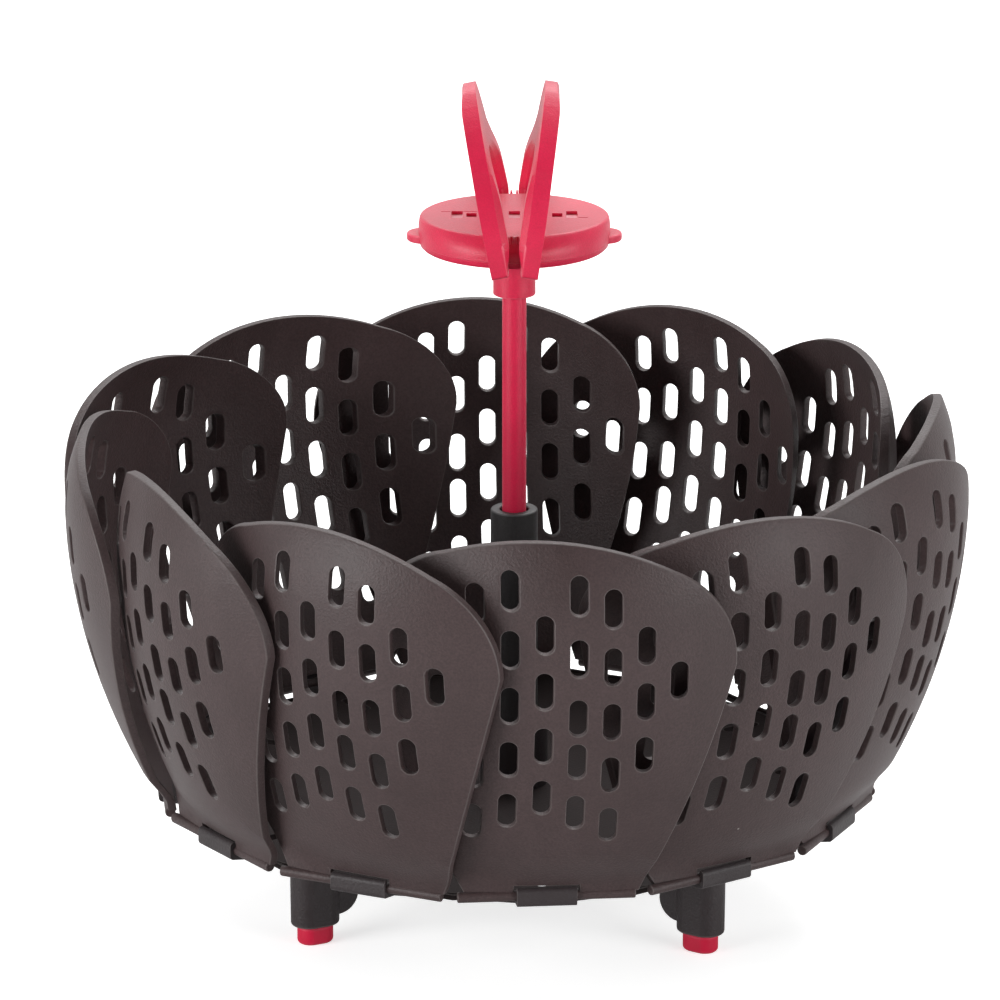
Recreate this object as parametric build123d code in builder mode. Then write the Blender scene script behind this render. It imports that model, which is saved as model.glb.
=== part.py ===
from build123d import *
from math import radians, sin, cos, hypot, sqrt
import os

os.makedirs("parts", exist_ok=True)

# Millimetres, +Z up, origin on the floor under the middle of the basket
# A petal is drawn facing -Y and then turned round Z to its place

# The ring of hinges
petal_count = 12
petal_step = 360.0 / petal_count
first_turn = 5.0
hinge_radius = 76.0
hinge_height = 31.0

# Petal wall: depth is measured outward from the axis, height upward from the hinge line
wall_thick = 1.6
wall_half_height = 45.0
wall_lean = 18.3
wall_depth = hinge_radius + wall_lean
wall_lean_rise = 8.33
wall_bow = 8.42
wall_flare = 0.39
wall_curl = 2.9
curl_from = 60.0
wall_round = 59.1
wall_round_drop = 4.9
roll_share = 0.154
roll_rise_share = 0.047
roll_bow_share = 0.0105

# Foot of the petal, where the wall runs straight along its hinge rod
foot_lean = 0.8
foot_depth = hinge_radius + foot_lean
foot_round = 300.0
foot_roll_share = 0.02
foot_blend = 9.0

# Heights of the wall's cross-sections as shares of twice the half height
section_shares = [0.0, 0.1, 0.25, 0.5, 0.75, 0.939]

# Outline of the petal seen from outside, left and right of its middle line
foot_left = 17.1
foot_right = 19.3
foot_rise = 0.6
side_left = 29.8
side_left_height = 30.0
side_right = 30.6
side_right_height = 29.5
shoulder_left = 35.0
shoulder_left_height = 59.0
shoulder_right = 38.0
shoulder_right_height = 54.0
corner_left = 31.9
corner_left_height = 71.4
corner_right = 34.5
corner_right_height = 67.2
crown_left = 22.0
crown_left_height = 78.4
crown_right = 24.6
crown_right_height = 75.8
crown_middle = 0.5
crown_height = 82.3
wall_margin = 2.0

# Steam slots: columns counted from the middle one, each with a lowest row, a pitch and a count
slot_width = 3.65
slot_length = 8.3
slot_middle = -2.2
slot_column_pitch = 6.95
slot_row_pitch = 12.5
slot_split_pitch = 13.4
slot_low_middle = 26.1
slot_low_inner = 22.5
slot_low_split = 45.2
slot_low_next = 19.2
slot_low_outer = 36.0
slot_low_edge = 52.6

# Hinge rod along the petal's foot and the hook that holds it
rod_radius = 1.15
rod_length = 37.4
rod_sides = 8
rod_turn = 22.5
hinge_fit = 0.05
hook_width = 12.6
hook_radius = 2.05
hook_gap = 0.55
notch_height = 3.3
hook_open_from = 75.0
hook_wrap = 240.0
hook_flats = 8
arm_depth = 5.2
hook_lip = 0.9

# Base plate
plate_thick = 1.6
plate_drop = 1.5
plate_gap = 4.5
drain_width = 2.8
drain_count = 12
drain_radius = 62.0
drain_length = 9.0

# Hub that guides the telescopic middle tube
hub_radius = 7.4
hub_bottom = 7.6
hub_floor = 2.0
hub_rise = 44.8
hub_shoulder = 9.0
tube_radius = 5.1
tube_bore = 3.1
slide_fit = 0.05
tube_bottom = 26.3
tube_top = 91.85

# Legs and their soft tips
leg_count = 3
leg_turn = -63.4
leg_step = 360.0 / leg_count
leg_radius = 48.3
leg_length = 11.2
leg_width = 8.3
leg_bottom = 4.3
leg_taper = 0.5
fin_reach = 4.5
fin_thick = 2.0
fin_end = 5.6
fin_knee = 7.4
fin_bend = 11.0
fin_knee_share = 0.62
leg_corner = 2.2
tip_length = 8.0
tip_width = 5.8
tip_chamfer = 0.8
tip_corner = 1.6

# Stem, collar and grip
stem_radius = 2.6
stem_bottom = 56.8
piston_length = 6.0
collar_radius = 4.56
collar_bottom = 140.0
grip_bottom = 150.95
grip_thick = 6.6
grip_radius = 20.5
grip_flat = 16.0
grip_brow = 19.4
grip_side = 3.4
grip_brow_rise = 5.6
window_width = 2.4
window_depth = 3.0
window_sink = 2.0
window_pitch = 12.4
ear_reach = 2.5
ear_width = 8.0
ear_thick = 1.8
ear_rise = 1.0
ear_root = 3.0
cleft_width = 1.6
cleft_depth = 1.4

# Wings of the grip
pivot_offset = 3.4
pivot_rise = 1.35
wing_thick = 3.6
wing_half = 25.6
wing_height = 34.5
wing_waist = 25.0
wing_waist_height = 8.4
wing_shoulder = 18.8
wing_shoulder_height = 20.1
wing_brow = 13.0
wing_brow_height = 27.6
wing_tip = 5.0
wing_tip_height = 33.5
wing_boss = 2.2
wing_foot_chamfer = 1.0
hole_half = 21.3
hole_height = 19.8
hole_side = 20.6
hole_side_height = 6.4
hole_shoulder = 16.5
hole_shoulder_height = 13.3
left_lean = 11.3
right_lean = 8.4
pin_radius = 1.1
pin_fit = 0.05
pin_short = 0.4

plate_top = hinge_height - plate_drop
plate_bottom = plate_top - plate_thick
section_heights = [share * 2 * wall_half_height for share in section_shares]


def wall_section(height):
    """Centre and radius of the outer arc of the wall at a height over the hinge line."""
    rise = (height - wall_half_height) / wall_half_height
    middle = wall_depth + wall_lean_rise * rise - wall_bow * rise ** 2 + wall_flare * rise ** 3
    middle -= wall_curl * (max(height - curl_from, 0) / (crown_height - curl_from)) ** 3
    slope = roll_share + roll_rise_share * rise + roll_bow_share * rise ** 2
    bend = 1 / (wall_round - wall_round_drop * rise)
    blend = min(height / foot_blend, 1)
    blend = blend * blend * (3 - 2 * blend)
    middle = foot_depth + (middle - foot_depth) * blend if height < foot_blend else middle
    slope = foot_roll_share + (slope - foot_roll_share) * blend
    bend = 1 / foot_round + (bend - 1 / foot_round) * blend
    radius = 1 / bend
    length = hypot(1, slope)
    return radius * slope / length, middle - radius / length, radius


def wall_point(height, across, inset):
    """Point of the wall at a height, across its width, inset from the outer face."""
    centre, depth, radius = wall_section(height)
    reach = sqrt((radius - inset) ** 2 - (across - centre) ** 2)
    return across, -(depth + reach)


def wall_span(height):
    """Left and right ends of a wall section, a little outside the outline."""
    share = min(height / shoulder_right_height, 1)
    left = -foot_left - (shoulder_left - foot_left) * share - wall_margin
    right = foot_right + (shoulder_right - foot_right) * share + wall_margin
    return left, right


# One petal, facing -Y: a lofted wall, cut to its outline, slotted, on its hinge rod
with BuildPart() as petal_form:
    for section_height in section_heights:
        span_left, span_right = wall_span(section_height)
        with BuildSketch(Plane.XY.offset(hinge_height + section_height)):
            with BuildLine():
                outer = [wall_point(section_height, u, 0) for u in (span_left, 0, span_right)]
                inner = [wall_point(section_height, u, wall_thick) for u in (span_right, 0, span_left)]
                ThreePointArc(*outer)
                Line(outer[2], inner[0])
                ThreePointArc(*inner)
                Line(inner[2], outer[0])
            make_face()
    loft()
    with BuildSketch(Plane(origin=(0, 0, hinge_height), x_dir=(1, 0, 0), z_dir=(0, -1, 0))):
        with BuildLine():
            left_side = ThreePointArc(
                (-foot_left, foot_rise),
                (-side_left, side_left_height),
                (-shoulder_left, shoulder_left_height),
            )
            left_corner = ThreePointArc(
                left_side @ 1,
                (-corner_left, corner_left_height),
                (-crown_left, crown_left_height),
            )
            crown = ThreePointArc(
                left_corner @ 1,
                (crown_middle, crown_height),
                (crown_right, crown_right_height),
            )
            right_corner = ThreePointArc(
                crown @ 1,
                (corner_right, corner_right_height),
                (shoulder_right, shoulder_right_height),
            )
            right_side = ThreePointArc(
                right_corner @ 1,
                (side_right, side_right_height),
                (foot_right, foot_rise),
            )
            Line(right_side @ 1, left_side @ 0)
        make_face()
    extrude(amount=hinge_radius + wall_depth, mode=Mode.INTERSECT)
    columns = [
        (-4, slot_low_edge, slot_row_pitch, 1),
        (-3, slot_low_outer, slot_row_pitch, 3),
        (-2, slot_low_next, slot_row_pitch, 5),
        (-1, slot_low_inner, slot_row_pitch, 5),
        (0, slot_low_middle, slot_row_pitch, 4),
        (1, slot_low_inner, slot_row_pitch, 2),
        (1, slot_low_split, slot_split_pitch, 3),
        (2, slot_low_next, slot_row_pitch, 5),
        (3, slot_low_outer, slot_row_pitch, 3),
        (4, slot_low_edge, slot_row_pitch, 1),
    ]
    slot_places = []
    for column, lowest, pitch, rows in columns:
        for row in range(rows):
            slot_places.append((slot_middle + column * slot_column_pitch, lowest + row * pitch))
    with BuildSketch(Plane(origin=(0, 0, hinge_height), x_dir=(1, 0, 0), z_dir=(0, -1, 0))):
        with Locations(*slot_places):
            Rectangle(slot_width, slot_length)
        Rectangle(hook_width + 2 * hook_gap, 2 * notch_height)
    extrude(amount=hinge_radius + wall_depth, mode=Mode.SUBTRACT)
    with BuildSketch(Plane(origin=(-rod_length / 2, -hinge_radius, hinge_height), x_dir=(0, 1, 0), z_dir=(1, 0, 0))):
        RegularPolygon(rod_radius, rod_sides, rotation=rod_turn)
    extrude(amount=rod_length)

petals = []
for petal_index in range(petal_count):
    petal = petal_form.part.rotate(Axis.Z, first_turn + petal_index * petal_step)
    petal.label = f"petal_{petal_index + 1:02d}"
    petals.append(petal)

# One hook of the hinge ring, facing -Y, with the arm that carries it
with BuildPart() as hook_form:
    hook_plane = Plane(origin=(-hook_width / 2, -hinge_radius, hinge_height), x_dir=(0, -1, 0), z_dir=(-1, 0, 0))
    with BuildSketch(hook_plane):
        with BuildLine():
            bore_corner = (rod_radius + hinge_fit) / cos(radians(hook_wrap / hook_flats / 2))
            bore = [
                (bore_corner * cos(radians(turn)), bore_corner * sin(radians(turn)))
                for turn in [hook_open_from - hook_wrap * k / hook_flats for k in range(hook_flats + 1)]
            ]
            Polyline(*bore)
            Polyline(
                bore[0],
                (hook_lip, hook_radius),
                (hook_radius, hook_lip),
                (hook_radius, -hook_lip),
                (hook_lip, -hook_radius),
                (-arm_depth, -plate_drop - plate_thick),
                (-arm_depth, -plate_drop),
                (-hook_radius, -plate_drop),
                bore[-1],
            )
        make_face()
    extrude(amount=-hook_width)

# Base plate with its ring of hooks, drain slots and the opening for the hub
with BuildPart() as base_plate:
    with BuildSketch(Plane.XY.offset(plate_bottom)):
        RegularPolygon(hinge_radius - plate_gap, petal_count, major_radius=False, rotation=first_turn + petal_step / 2)
        Circle(hub_radius, mode=Mode.SUBTRACT)
    extrude(amount=plate_thick)
    with PolarLocations(0, petal_count, start_angle=first_turn):
        add(hook_form.part)
    with BuildSketch(Plane.XY.offset(plate_bottom)):
        with PolarLocations(drain_radius, drain_count, start_angle=first_turn):
            Rectangle(drain_length, drain_width)
    extrude(amount=plate_thick, mode=Mode.SUBTRACT)
base_plate.part.label = "base_plate"

# Hub socket: a blind tube up through the plate, which rests on its shoulder
with BuildPart() as hub_socket:
    with BuildSketch(Plane.XZ):
        with BuildLine():
            Polyline(
                (0, hub_bottom),
                (hub_shoulder, hub_bottom),
                (hub_shoulder, plate_bottom),
                (hub_radius, plate_bottom),
                (hub_radius, hub_rise),
                (tube_radius + slide_fit, hub_rise),
                (tube_radius + slide_fit, hub_bottom + hub_floor),
                (0, hub_bottom + hub_floor),
                close=True,
            )
        make_face()
    revolve(axis=Axis.Z)
hub_socket.part.label = "hub_socket"

# Middle tube that slides in the hub
with BuildPart() as middle_tube:
    with BuildSketch(Plane.XY.offset(tube_bottom)):
        Circle(tube_radius)
        Circle(tube_bore, mode=Mode.SUBTRACT)
    extrude(amount=tube_top - tube_bottom)
middle_tube.part.label = "middle_tube"

# One leg on the -Y side: a tapered oval post with a gusset fin towards the middle
with BuildPart() as leg_form:
    with BuildSketch(Plane.XY.offset(plate_bottom)):
        with Locations((0, -leg_radius)):
            Rectangle(leg_width, leg_length)
        chamfer(vertices(), leg_corner)
    extrude(amount=-(plate_bottom - leg_bottom), taper=leg_taper)
    fin_root = -(leg_radius - leg_length / 2)
    with BuildSketch(Plane.YZ.offset(-fin_thick / 2)):
        with BuildLine():
            Polyline(
                (fin_root - fin_reach, plate_bottom),
                (fin_root + fin_reach, plate_bottom),
                (fin_root + fin_reach, fin_bend),
                (fin_root + fin_reach * fin_knee_share, fin_knee),
                (fin_root, fin_end),
                (fin_root - fin_reach, fin_end),
                close=True,
            )
        make_face()
    extrude(amount=fin_thick)

# One soft tip under a leg
with BuildPart() as tip_form:
    with BuildSketch():
        with Locations((0, -leg_radius)):
            Rectangle(tip_width, tip_length)
        chamfer(vertices(), tip_corner)
    extrude(amount=leg_bottom)
    chamfer(tip_form.faces().sort_by(Axis.Z)[0].edges(), tip_chamfer)

legs = []
tips = []
for leg_index in range(leg_count):
    leg_angle = leg_turn + leg_index * leg_step
    leg = leg_form.part.rotate(Axis.Z, leg_angle)
    leg.label = f"leg_{leg_index + 1}"
    legs.append(leg)
    tip = tip_form.part.rotate(Axis.Z, leg_angle)
    tip.label = f"foot_tip_{leg_index + 1}"
    tips.append(tip)

# Stem with its piston and the collar under the grip
with BuildPart() as stem:
    with BuildSketch(Plane.XZ):
        with BuildLine():
            Polyline(
                (0, stem_bottom),
                (tube_bore - slide_fit, stem_bottom),
                (tube_bore - slide_fit, stem_bottom + piston_length),
                (stem_radius, stem_bottom + piston_length),
                (stem_radius, collar_bottom),
                (collar_radius, collar_bottom),
                (collar_radius, grip_bottom),
                (0, grip_bottom),
                close=True,
            )
        make_face()
    revolve(axis=Axis.Z)
stem.part.label = "stem"

# Grip disc with two ears, sunk windows and a cleft between the wings at front and back
pivot_height = grip_bottom + pivot_rise
with BuildPart() as grip_disc:
    with BuildSketch(Plane.XZ):
        with BuildLine():
            Polyline(
                (0, grip_bottom),
                (grip_radius, grip_bottom),
                (grip_radius, grip_bottom + grip_side),
                (grip_brow, grip_bottom + grip_brow_rise),
                (grip_flat, grip_bottom + grip_thick),
                (0, grip_bottom + grip_thick),
                close=True,
            )
        make_face()
    revolve(axis=Axis.Z)
    with BuildSketch(Plane.XY.offset(grip_bottom + ear_rise)):
        with Locations((-grip_radius + ear_root, 0), (grip_radius - ear_root, 0)):
            SlotOverall(2 * (ear_root + ear_reach), ear_width)
    extrude(amount=ear_thick)
    with BuildSketch(Plane.XY.offset(grip_bottom + grip_thick)):
        with Locations((-window_pitch, 0), (0, 0), (window_pitch, 0)):
            Rectangle(window_width, window_depth)
    extrude(amount=-window_sink, mode=Mode.SUBTRACT)
    with BuildSketch(Plane.XY.offset(grip_bottom)):
        with Locations((0, -grip_radius), (0, grip_radius)):
            Rectangle(cleft_width, 2 * cleft_depth)
    extrude(amount=grip_thick, mode=Mode.SUBTRACT)
    with BuildSketch(Plane.XZ):
        with Locations((-pivot_offset, pivot_height), (pivot_offset, pivot_height)):
            RegularPolygon(pin_radius, rod_sides)
    extrude(amount=wing_half - pin_short, both=True)
grip_disc.part.label = "grip_disc"

# One upright wing: a leaf-shaped arch that straddles the disc, with a finger hole
with BuildPart() as wing_form:
    wing_plane = Plane(origin=(-wing_thick / 2, 0, pivot_height), x_dir=(0, 1, 0), z_dir=(1, 0, 0))
    with BuildSketch(wing_plane):
        with BuildLine():
            flank = ThreePointArc((wing_half, 0), (wing_waist, wing_waist_height), (wing_shoulder, wing_shoulder_height))
            brow = ThreePointArc(flank @ 1, (wing_brow, wing_brow_height), (wing_tip, wing_tip_height))
            crest = ThreePointArc(brow @ 1, (0, wing_height), (-wing_tip, wing_tip_height))
            mirror(flank, about=Plane.YZ)
            mirror(brow, about=Plane.YZ)
            Line((-wing_half, 0), (wing_half, 0))
        make_face()
        with BuildLine():
            rim = ThreePointArc((hole_half, 0), (hole_side, hole_side_height), (hole_shoulder, hole_shoulder_height))
            ThreePointArc(rim @ 1, (0, hole_height), (-hole_shoulder, hole_shoulder_height))
            mirror(rim, about=Plane.YZ)
            Line((-hole_half, 0), (hole_half, 0))
        make_face(mode=Mode.SUBTRACT)
        boss_middle = (wing_half + hole_half) / 2
        with Locations((-boss_middle, 0), (boss_middle, 0)):
            Rectangle(wing_half - hole_half, 2 * wing_boss)
    extrude(amount=wing_thick)
    chamfer(wing_form.edges().filter_by(Axis.Y).group_by(Axis.Z)[0], wing_foot_chamfer)
    with BuildSketch(Plane.XZ.offset(-wing_half)):
        with Locations((0, pivot_height)):
            RegularPolygon(pin_radius + pin_fit, rod_sides, major_radius=False)
    extrude(amount=2 * wing_half, mode=Mode.SUBTRACT)

left_axis = Axis((-pivot_offset, 0, pivot_height), (0, 1, 0))
right_axis = Axis((pivot_offset, 0, pivot_height), (0, 1, 0))
wing_left = wing_form.part.moved(Location((-pivot_offset, 0, 0))).rotate(left_axis, -left_lean)
wing_left.label = "wing_left"
wing_right = wing_form.part.moved(Location((pivot_offset, 0, 0))).rotate(right_axis, right_lean)
wing_right.label = "wing_right"

nodes = petals + legs + tips
nodes += [base_plate.part, hub_socket.part, middle_tube.part, stem.part, grip_disc.part]
nodes += [wing_left, wing_right]
for node in nodes:
    export_step(node, f"parts/{node.label}.step")
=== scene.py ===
from math import atan2, cos, hypot, pi, radians, sin, sqrt

import bmesh
import bpy
from mathutils import Matrix, Vector


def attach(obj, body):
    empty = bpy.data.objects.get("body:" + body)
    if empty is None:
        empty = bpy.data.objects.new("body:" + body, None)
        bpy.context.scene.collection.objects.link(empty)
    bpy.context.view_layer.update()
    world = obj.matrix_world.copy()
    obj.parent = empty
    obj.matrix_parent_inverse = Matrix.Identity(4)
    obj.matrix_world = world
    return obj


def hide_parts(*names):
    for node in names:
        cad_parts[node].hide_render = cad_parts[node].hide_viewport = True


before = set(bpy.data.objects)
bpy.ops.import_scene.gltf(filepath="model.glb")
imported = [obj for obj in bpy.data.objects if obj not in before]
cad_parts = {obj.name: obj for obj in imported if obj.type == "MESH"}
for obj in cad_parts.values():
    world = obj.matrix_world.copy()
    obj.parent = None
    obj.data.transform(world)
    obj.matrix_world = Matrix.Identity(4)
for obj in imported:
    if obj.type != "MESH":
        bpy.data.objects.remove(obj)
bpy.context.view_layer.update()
print("frame loaded:", len(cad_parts), "nodes")

# Pieces are drawn in millimetres and scaled to metres once, when their mesh is made
mm = 0.001
weldGap = 0.001
cutGap = 0.02
ringCount = 12
ringStep = 360.0 / ringCount
firstTurn = 5.0
hingeRadius = 76.0
hingeHeight = 31.0
rodSegments = 24
fineSteps = 2  # of a narrow rounded edge
endAngle = 50  # degrees, past which an edge of a rod or a curb is rounded
turnedAngle = 30  # the same for turned pieces
capShare = 0.9  # of a normal that runs along Y, for the flat sides of a sheet


# An outline is drawn in the XZ plane: x across, z up
def startOutline(bm, place):
    return bm.verts.new((place[0], 0, place[1]))


def drawLine(bm, last, place):
    vert = bm.verts.new((place[0], 0, place[1]))
    bm.edges.new((last, vert))
    return vert


def drawLines(bm, last, places):
    for place in places:
        last = drawLine(bm, last, place)
    return last


def drawArc(bm, last, through, end, steps):
    ax, az = last.co.x, last.co.z
    (bx, bz), (cx, cz) = through, end
    d = 2 * ((ax - cx) * (bz - cz) - (bx - cx) * (az - cz))
    p = ax * ax - cx * cx + az * az - cz * cz
    q = bx * bx - cx * cx + bz * bz - cz * cz
    midX = (p * (bz - cz) - q * (az - cz)) / d
    midZ = (q * (ax - cx) - p * (bx - cx)) / d
    turn = atan2(cz - midZ, cx - midX) - atan2(az - midZ, ax - midX)
    if (bx - ax) * (cz - bz) - (bz - az) * (cx - bx) > 0:
        turn = turn % (2 * pi)
    else:
        turn = -((-turn) % (2 * pi))
    made = bmesh.ops.spin(bm, geom=[last], cent=(midX, 0, midZ), axis=(0, -1, 0), angle=turn, steps=steps)
    return [g for g in made["geom_last"] if isinstance(g, bmesh.types.BMVert)][0]


def closeOutline(bm, last, first):
    bm.edges.new((last, first))


def drawCircle(bm, radius, segments, turn=0.0):
    return bmesh.ops.create_circle(
        bm, cap_ends=False, segments=segments, radius=radius,
        matrix=Matrix.Rotation(pi / 2, 4, "X") @ Matrix.Rotation(turn, 4, "Z"))["verts"]


def drawOval(bm, x, z, width, length, segments, turn=0.0):
    # a circle whose halves are moved apart gives a slot with round ends
    half = pi / segments
    verts = drawCircle(bm, width / 2 / cos(half), segments, half)
    for vert in verts:
        vert.co.z += (length - width) / 2 * (1 if vert.co.z > 0 else -1)
    bmesh.ops.rotate(bm, verts=verts, cent=(0, 0, 0), matrix=Matrix.Rotation(radians(turn), 3, "Y"))
    bmesh.ops.translate(bm, verts=verts, vec=(x, 0, z))


def fillOutlines(bm):
    bmesh.ops.triangle_fill(bm, use_beauty=True, use_dissolve=True, edges=bm.edges[:], normal=(0, -1, 0))


def isCap(face):
    return abs(face.normal.y) > capShare


def fillSheet(bm, thick, rim, rimSteps):
    # closed outlines with openings inside become one sheet, thickened towards +Y, with rounded rims
    bmesh.ops.remove_doubles(bm, verts=bm.verts[:], dist=weldGap)
    fillOutlines(bm)
    grown = bmesh.ops.extrude_face_region(bm, geom=bm.faces[:])
    moved = [g for g in grown["geom"] if isinstance(g, bmesh.types.BMVert)]
    bmesh.ops.translate(bm, verts=moved, vec=(0, thick, 0))
    bmesh.ops.recalc_face_normals(bm, faces=bm.faces[:])
    bm.normal_update()
    rims = [e for e in bm.edges
            if len(e.link_faces) == 2 and isCap(e.link_faces[0]) != isCap(e.link_faces[1])]
    roundEdges(bm, rims, rim, rimSteps)


def roundEdges(bm, edges, width, steps):
    made = bmesh.ops.bevel(
        bm, geom=edges, offset=width, offset_type="OFFSET", segments=steps, profile=0.5,
        affect="EDGES", clamp_overlap=True, loop_slide=True, material=-1)
    # the middle of each rounded strip is marked for the painted rim highlight
    highlight = bm.verts.layers.float.get("rimHighlightMask") or bm.verts.layers.float.new("rimHighlightMask")
    strip = set(made["faces"])
    for vert in {v for f in strip for v in f.verts}:
        if all(f in strip for f in vert.link_faces):
            vert[highlight] = 1.0


def sharpEdges(bm, limit):
    bm.normal_update()
    return [e for e in bm.edges if len(e.link_faces) == 2 and e.calc_face_angle(0) > radians(limit)]


def cutThrough(bm, place, normal):
    # a row of edges where the plane passes
    bmesh.ops.bisect_plane(
        bm, geom=bm.verts[:] + bm.edges[:] + bm.faces[:], dist=cutGap, plane_co=place, plane_no=normal)


def spinOutline(bm, steps):
    # what is drawn in the XZ plane is turned round Z
    bmesh.ops.spin(
        bm, geom=bm.verts[:] + bm.edges[:], cent=(0, 0, 0), axis=(0, 0, 1), angle=2 * pi,
        steps=steps, use_merge=True)
    bmesh.ops.remove_doubles(bm, verts=bm.verts[:], dist=weldGap)
    bmesh.ops.recalc_face_normals(bm, faces=bm.faces[:])


def spinProfile(bm, profile, steps, rim, rimSteps):
    drawLines(bm, startOutline(bm, profile[0]), profile[1:])
    spinOutline(bm, steps)
    roundEdges(bm, sharpEdges(bm, turnedAngle), rim, rimSteps)


def makeRod(radius, length, rim, matrix):
    bm = bmesh.new()
    bmesh.ops.create_cone(
        bm, cap_ends=True, segments=rodSegments, radius1=radius, radius2=radius, depth=length, matrix=matrix)
    roundEdges(bm, sharpEdges(bm, endAngle), rim, fineSteps)
    return bm


def makePiece(name, bm, material, body, nodes=(), matrix=None, sharp=40):
    if matrix is not None:
        bmesh.ops.transform(bm, matrix=matrix, verts=bm.verts[:])
    bmesh.ops.scale(bm, vec=(mm, mm, mm), verts=bm.verts[:])
    mesh = bpy.data.meshes.new(name)
    bm.to_mesh(mesh)
    bm.free()
    mesh.shade_smooth()
    mesh.set_sharp_from_angle(angle=radians(sharp))
    piece = bpy.data.objects.new(name, mesh)
    bpy.context.scene.collection.objects.link(piece)
    piece.data.materials.append(material)
    weighted = piece.modifiers.new("evenNormals", "WEIGHTED_NORMAL")
    weighted.keep_sharp = True
    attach(piece, body)
    if nodes:
        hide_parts(*nodes)
    return piece


def turned(angle):
    return Matrix.Rotation(radians(angle), 4, "Z")


def laidFlat(x, y, top):
    # a drawn sheet lies down, with its thickness below the top
    return Matrix.Translation((x, y, top)) @ Matrix.Rotation(radians(-90), 4, "X")


def fade(value, start, end):
    share = min(max((value - start) / (end - start), 0), 1)
    return share * share * (3 - 2 * share)


# Nodes that the shader groups and the materials share
def newGroup(name, inputs, outputs):
    group = bpy.data.node_groups.new(name, "ShaderNodeTree")
    for socketName, value in inputs:
        socket = group.interface.new_socket(name=socketName, in_out="INPUT", socket_type="NodeSocketFloat")
        socket.default_value = value
    for socketName in outputs:
        group.interface.new_socket(name=socketName, in_out="OUTPUT", socket_type="NodeSocketFloat")
    return group, group.nodes.new("NodeGroupInput"), group.nodes.new("NodeGroupOutput")


def addGroup(nodes, group, values):
    node = nodes.new("ShaderNodeGroup")
    node.node_tree = group
    for name, value in values.items():
        node.inputs[name].default_value = value
    return node


def addRange(nodes, links, value, fromSpan=(0.0, 1.0), toSpan=(0.0, 1.0)):
    node = nodes.new("ShaderNodeMapRange")
    node.inputs["From Min"].default_value, node.inputs["From Max"].default_value = fromSpan
    node.inputs["To Min"].default_value, node.inputs["To Max"].default_value = toSpan
    links.new(value, node.inputs["Value"])
    return node.outputs["Result"]


def addMath(nodes, links, operation, first, second):
    node = nodes.new("ShaderNodeMath")
    node.operation = operation
    links.new(first, node.inputs[0])
    if isinstance(second, float):
        node.inputs[1].default_value = second
    else:
        links.new(second, node.inputs[1])
    return node.outputs["Value"]


def mixColour(nodes, links, factor, first, second):
    mix = nodes.new("ShaderNodeMix")
    mix.data_type = "RGBA"
    links.new(factor, mix.inputs["Factor"])
    for socket, value in ((mix.inputs["A"], first), (mix.inputs["B"], second)):
        if isinstance(value, tuple):
            socket.default_value = (*value, 1.0)
        else:
            links.new(value, socket)
    return mix.outputs["Result"]


# Fine spark-eroded texture, slow clouding and long soft streaks where the melt ran
mould = {"grainDetail": 2.0, "grainRough": 0.55, "grainSpan": (0.35, 0.65),
         "cloudDetail": 4.0, "cloudRough": 0.6, "cloudSpan": (0.32, 0.68),
         "flowDetail": 3.0, "flowStretch": (190.0, 190.0, 26.0), "flowSpan": (0.45, 0.8)}


def makeMouldGrain():
    group, source, result = newGroup(
        "mouldGrain", [("Grain Scale", 2600.0), ("Cloud Scale", 45.0)], ["Grain", "Cloud", "Flow"])
    nodes, links = group.nodes, group.links
    place = nodes.new("ShaderNodeTexCoord")
    for name in ("grain", "cloud"):
        noise = nodes.new("ShaderNodeTexNoise")
        noise.inputs["Detail"].default_value = mould[name + "Detail"]
        noise.inputs["Roughness"].default_value = mould[name + "Rough"]
        links.new(place.outputs["Object"], noise.inputs["Vector"])
        links.new(source.outputs[name.capitalize() + " Scale"], noise.inputs["Scale"])
        links.new(noise.outputs["Fac"], result.inputs[name.capitalize()])
    stretch = nodes.new("ShaderNodeMapping")
    stretch.inputs["Scale"].default_value = mould["flowStretch"]
    flow = nodes.new("ShaderNodeTexNoise")
    flow.inputs["Scale"].default_value = 1.0
    flow.inputs["Detail"].default_value = mould["flowDetail"]
    links.new(place.outputs["Object"], stretch.inputs["Vector"])
    links.new(stretch.outputs["Vector"], flow.inputs["Vector"])
    links.new(flow.outputs["Fac"], result.inputs["Flow"])
    return group


# Sparse pale specks: small spots, each in its own cell, in a few of the cells
dust = {"spotSpan": (0.05, 0.025)}


def makeFineDust():
    group, source, result = newGroup("fineDust", [("Speck Scale", 260.0), ("Coverage", 0.05)], ["Speck"])
    nodes, links = group.nodes, group.links
    place = nodes.new("ShaderNodeTexCoord")
    cells = nodes.new("ShaderNodeTexVoronoi")
    split = nodes.new("ShaderNodeSeparateColor")
    links.new(place.outputs["Object"], cells.inputs["Vector"])
    links.new(source.outputs["Speck Scale"], cells.inputs["Scale"])
    links.new(cells.outputs["Color"], split.inputs["Color"])
    spot = addRange(nodes, links, cells.outputs["Distance"], dust["spotSpan"])
    picked = addMath(nodes, links, "LESS_THAN", split.outputs["Red"], source.outputs["Coverage"])
    links.new(addMath(nodes, links, "MULTIPLY", spot, picked), result.inputs["Speck"])
    return group


# Painted highlight along the rounded rims and edges, read from the mesh, broken up a little
paintedHighlight = {"breakup": 90.0, "breakupSpan": (0.25, 0.65), "highlightSpan": (0.45, 1.0)}


def makeRimPolish():
    group, source, result = newGroup("paintedRimHighlight", [("Breakup Scale", paintedHighlight["breakup"])], ["Rim"])
    nodes, links = group.nodes, group.links
    rim = nodes.new("ShaderNodeAttribute")
    rim.attribute_name = "rimHighlightMask"
    place = nodes.new("ShaderNodeTexCoord")
    noise = nodes.new("ShaderNodeTexNoise")
    links.new(place.outputs["Object"], noise.inputs["Vector"])
    links.new(source.outputs["Breakup Scale"], noise.inputs["Scale"])
    highlight = addRange(nodes, links, noise.outputs["Fac"], paintedHighlight["breakupSpan"], paintedHighlight["highlightSpan"])
    links.new(addMath(nodes, links, "MULTIPLY", rim.outputs["Fac"], highlight), result.inputs["Rim"])
    return group


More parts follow.
